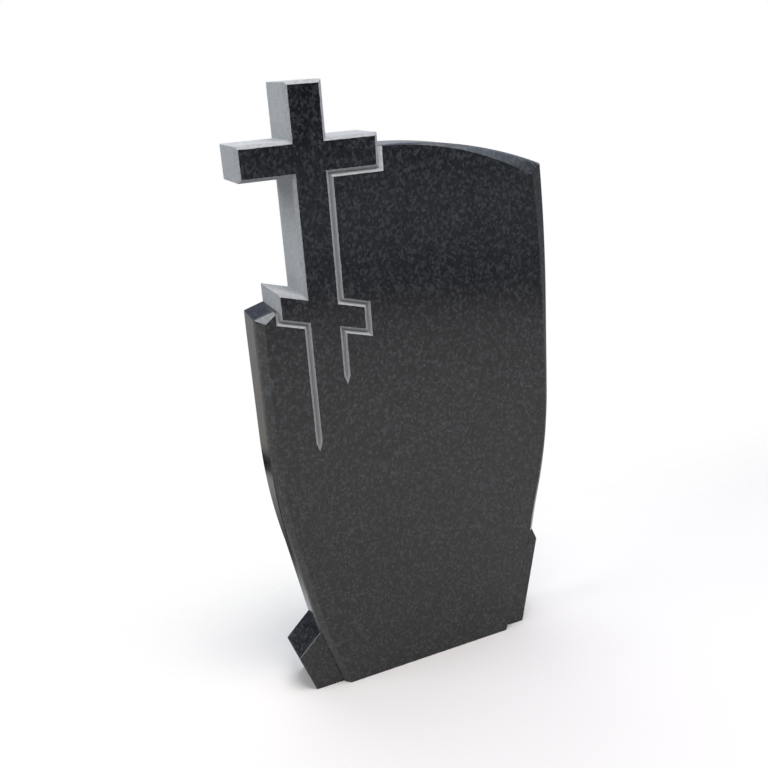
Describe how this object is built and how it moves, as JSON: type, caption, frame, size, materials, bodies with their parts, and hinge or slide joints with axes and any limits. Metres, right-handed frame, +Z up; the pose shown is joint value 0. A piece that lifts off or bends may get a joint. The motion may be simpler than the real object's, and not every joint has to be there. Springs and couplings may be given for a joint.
{
  "type": "headstone",
  "caption": "Upright headstone cut from one slab of dark stone, with bevelled curved sides, sloped feet and a cross standing out at the upper left.",
  "frame": {"origin": "on the ground, under the middle of the stone", "axes": "+Z up, +X to the viewer's right across the front, -Y out of the polished front"},
  "size_m": [0.4926, 0.08, 0.9695],
  "materials": {
    "stone": "polished front, with light unpolished cross edges and grooves"
  },
  "bodies": {
    "root": {"headstone": "stone"}
  },
  "joints": []
}
